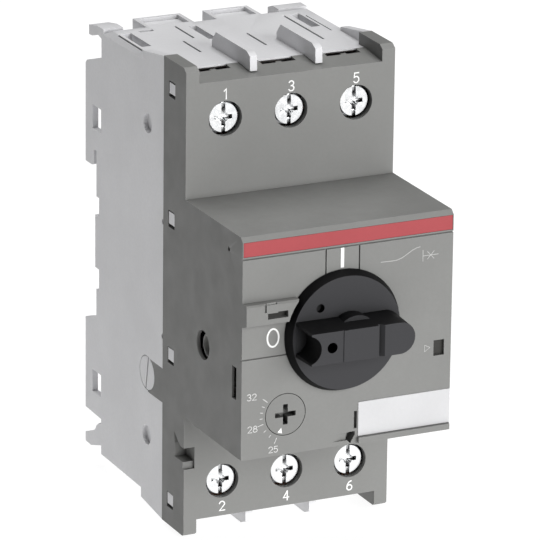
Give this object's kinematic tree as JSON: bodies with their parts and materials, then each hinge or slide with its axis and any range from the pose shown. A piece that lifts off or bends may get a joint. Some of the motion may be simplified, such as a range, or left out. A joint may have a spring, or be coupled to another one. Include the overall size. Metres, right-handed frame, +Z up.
{
  "type": "motor protection breaker",
  "caption": "Rail-mounted motor protection circuit breaker with a rotary handle, current setting dial, test slider and screw terminals on two shelves.",
  "frame": {"origin": "middle of the plane where the flanges of the 35 mm rail seat, on the rail's centre line", "axes": "+X to the right seen from the front, -Y out of the operating face, +Z up"},
  "size_m": [0.045, 0.0845, 0.0984],
  "materials": {
    "housing_grey": "fine matt moulded",
    "cover_grey": "fine matt moulded",
    "trim_red": "satin",
    "label_white": "satin",
    "plug_grey": "fine matt moulded",
    "knob_black": "satin moulded",
    "shaft_steel": "turned",
    "dial_grey": "fine matt moulded",
    "lever_ivory": "moulded",
    "slider_grey": "moulded",
    "spring_steel": "drawn wire",
    "latch_dark": "moulded",
    "copper_bar": "punched copper, tin flashed",
    "coil_copper": "enamelled wire",
    "bobbin_ivory": "moulded",
    "yoke_steel": "punched",
    "plunger_steel": "turned",
    "arc_steel": "plated sheet",
    "bridge_copper": "punched copper",
    "carrier_brown": "moulded thermoset",
    "frame_steel": "zinc plated sheet",
    "bimetal": "rolled strip",
    "heater_wire": "resistance wire",
    "screw_zinc": "bright zinc",
    "clamp_steel": "zinc plated"
  },
  "bodies": {
    "breaker": {"rear_housing": "housing_grey", "front_cover": "cover_grey", "red_trim_strip": "trim_red", "label_plate": "label_white", "side_lock_plugs": "plug_grey", "test_slider_spring": "spring_steel", "rail_latch_spring": "spring_steel", "line_busbars": "copper_bar", "load_busbars": "copper_bar", "coil_windings": "coil_copper", "coil_bobbins": "bobbin_ivory", "coil_yokes": "yoke_steel", "arc_plates": "arc_steel", "mechanism_frame": "frame_steel", "main_spring": "spring_steel", "bimetal_strips": "bimetal", "heater_windings": "heater_wire"},
    "clamp_1": {"terminal_clamp_1": "clamp_steel"},
    "screw_1": {"terminal_screw_1": "screw_zinc"},
    "clamp_3": {"terminal_clamp_3": "clamp_steel"},
    "screw_3": {"terminal_screw_3": "screw_zinc"},
    "clamp_5": {"terminal_clamp_5": "clamp_steel"},
    "screw_5": {"terminal_screw_5": "screw_zinc"},
    "clamp_2": {"terminal_clamp_2": "clamp_steel"},
    "screw_2": {"terminal_screw_2": "screw_zinc"},
    "clamp_4": {"terminal_clamp_4": "clamp_steel"},
    "screw_4": {"terminal_screw_4": "screw_zinc"},
    "clamp_6": {"terminal_clamp_6": "clamp_steel"},
    "screw_6": {"terminal_screw_6": "screw_zinc"},
    "handle": {"rotary_knob": "knob_black", "knob_shaft": "shaft_steel"},
    "dial": {"setting_dial": "dial_grey"},
    "dial_lever": {"dial_cam_lever": "lever_ivory"},
    "test_button": {"test_slider": "slider_grey"},
    "latch": {"rail_latch": "latch_dark"},
    "magnet_plunger_1": {"plunger_1": "plunger_steel"},
    "magnet_plunger_2": {"plunger_2": "plunger_steel"},
    "magnet_plunger_3": {"plunger_3": "plunger_steel"},
    "carrier": {"contact_carrier": "carrier_brown", "contact_bridges": "bridge_copper", "contact_springs": "spring_steel"},
    "toggle": {"toggle_lever": "lever_ivory"},
    "trip_shaft": {"trip_bar": "lever_ivory"},
    "bimetal_slide": {"trip_slide": "lever_ivory"},
    "aux_indicator": {"aux_lever": "slider_grey"}
  },
  "joints": [
    {"name": "clamp_1_lift", "type": "slide", "parent": "breaker", "child": "clamp_1", "axis": [0, -1, 0], "range_m": [0, 0.0014]},
    {"name": "screw_1_turn", "type": "hinge", "parent": "clamp_1", "child": "screw_1", "pos_m": [-0.0141, -0.0434, 0.0355], "axis": [0, -1, 0], "range_deg": [0, 720]},
    {"name": "clamp_3_lift", "type": "slide", "parent": "breaker", "child": "clamp_3", "axis": [0, -1, 0], "range_m": [0, 0.0014]},
    {"name": "screw_3_turn", "type": "hinge", "parent": "clamp_3", "child": "screw_3", "pos_m": [0, -0.0434, 0.0355], "axis": [0, -1, 0], "range_deg": [0, 720]},
    {"name": "clamp_5_lift", "type": "slide", "parent": "breaker", "child": "clamp_5", "axis": [0, -1, 0], "range_m": [0, 0.0014]},
    {"name": "screw_5_turn", "type": "hinge", "parent": "clamp_5", "child": "screw_5", "pos_m": [0.0141, -0.0434, 0.0355], "axis": [0, -1, 0], "range_deg": [0, 720]},
    {"name": "clamp_2_lift", "type": "slide", "parent": "breaker", "child": "clamp_2", "axis": [0, -1, 0], "range_m": [0, 0.0014]},
    {"name": "screw_2_turn", "type": "hinge", "parent": "clamp_2", "child": "screw_2", "pos_m": [-0.0141, -0.0434, -0.03955], "axis": [0, -1, 0], "range_deg": [0, 720]},
    {"name": "clamp_4_lift", "type": "slide", "parent": "breaker", "child": "clamp_4", "axis": [0, -1, 0], "range_m": [0, 0.0014]},
    {"name": "screw_4_turn", "type": "hinge", "parent": "clamp_4", "child": "screw_4", "pos_m": [0, -0.0434, -0.03955], "axis": [0, -1, 0], "range_deg": [0, 720]},
    {"name": "clamp_6_lift", "type": "slide", "parent": "breaker", "child": "clamp_6", "axis": [0, -1, 0], "range_m": [0, 0.0014]},
    {"name": "screw_6_turn", "type": "hinge", "parent": "clamp_6", "child": "screw_6", "pos_m": [0.0141, -0.0434, -0.03955], "axis": [0, -1, 0], "range_deg": [0, 720]},
    {"name": "handle_turn", "type": "hinge", "parent": "breaker", "child": "handle", "pos_m": [-0.00125, -0.0698, -0.0011], "axis": [0, 1, 0], "range_deg": [0, 90]},
    {"name": "toggle_swing", "type": "hinge", "parent": "breaker", "child": "toggle", "pos_m": [-0.00125, -0.0485, 0.008], "axis": [1, 0, 0], "range_deg": [0, 12.5]},
    {"name": "carrier_close", "type": "slide", "parent": "breaker", "child": "carrier", "axis": [0, 1, 0], "range_m": [0, 0.0026]},
    {"name": "aux_swing", "type": "hinge", "parent": "breaker", "child": "aux_indicator", "pos_m": [-0.02, -0.058, -0.012], "axis": [-1, 0, 0], "range_deg": [0, 8]},
    {"name": "dial_turn", "type": "hinge", "parent": "breaker", "child": "dial", "pos_m": [-0.0131, -0.0698, -0.0168], "axis": [0, 1, 0], "range_deg": [0, 106]},
    {"name": "dial_lever_swing", "type": "hinge", "parent": "breaker", "child": "dial_lever", "pos_m": [-0.0165, -0.0445, -0.0122], "axis": [0, 0, -1], "range_deg": [0, 4.2]},
    {"name": "test_press", "type": "slide", "parent": "breaker", "child": "test_button", "axis": [0, 1, 0], "range_m": [0, 0.002], "stiffness_N_per_m": 300, "deforming": ["test_slider_spring"]},
    {"name": "latch_pull", "type": "slide", "parent": "breaker", "child": "latch", "axis": [0, 0, -1], "range_m": [0, 0.0025], "stiffness_N_per_m": 2000, "deforming": ["rail_latch_spring"]},
    {"name": "trip_shaft_turn", "type": "hinge", "parent": "breaker", "child": "trip_shaft", "pos_m": [0, -0.0295, -0.0085], "axis": [1, 0, 0], "range_deg": [0, 12], "stiffness_Nm_per_rad": 0.01},
    {"name": "bimetal_slide_shift", "type": "slide", "parent": "breaker", "child": "bimetal_slide", "axis": [-1, 0, 0], "range_m": [0, 0.0012], "stiffness_N_per_m": 100},
    {"name": "plunger_1_strike", "type": "slide", "parent": "breaker", "child": "magnet_plunger_1", "axis": [0, 0, 1], "range_m": [0, 0.0024], "stiffness_N_per_m": 200},
    {"name": "plunger_2_strike", "type": "slide", "parent": "breaker", "child": "magnet_plunger_2", "axis": [0, 0, 1], "range_m": [0, 0.0024], "stiffness_N_per_m": 200},
    {"name": "plunger_3_strike", "type": "slide", "parent": "breaker", "child": "magnet_plunger_3", "axis": [0, 0, 1], "range_m": [0, 0.0024], "stiffness_N_per_m": 200}
  ],
  "couplings": [
    {"joint": "screw_1_turn", "follows": "clamp_1_lift", "rad_per_m": 8976},
    {"joint": "screw_3_turn", "follows": "clamp_3_lift", "rad_per_m": 8976},
    {"joint": "screw_5_turn", "follows": "clamp_5_lift", "rad_per_m": 8976},
    {"joint": "screw_2_turn", "follows": "clamp_2_lift", "rad_per_m": 8976},
    {"joint": "screw_4_turn", "follows": "clamp_4_lift", "rad_per_m": 8976},
    {"joint": "screw_6_turn", "follows": "clamp_6_lift", "rad_per_m": 8976},
    {"joint": "handle_turn", "follows": "carrier_close", "rad_per_m": 604.15},
    {"joint": "toggle_swing", "follows": "carrier_close", "rad_per_m": 83.91},
    {"joint": "aux_swing", "follows": "carrier_close", "rad_per_m": 53.702},
    {"joint": "dial_lever_swing", "follows": "dial_turn", "ratio": 0.039622}
  ]
}
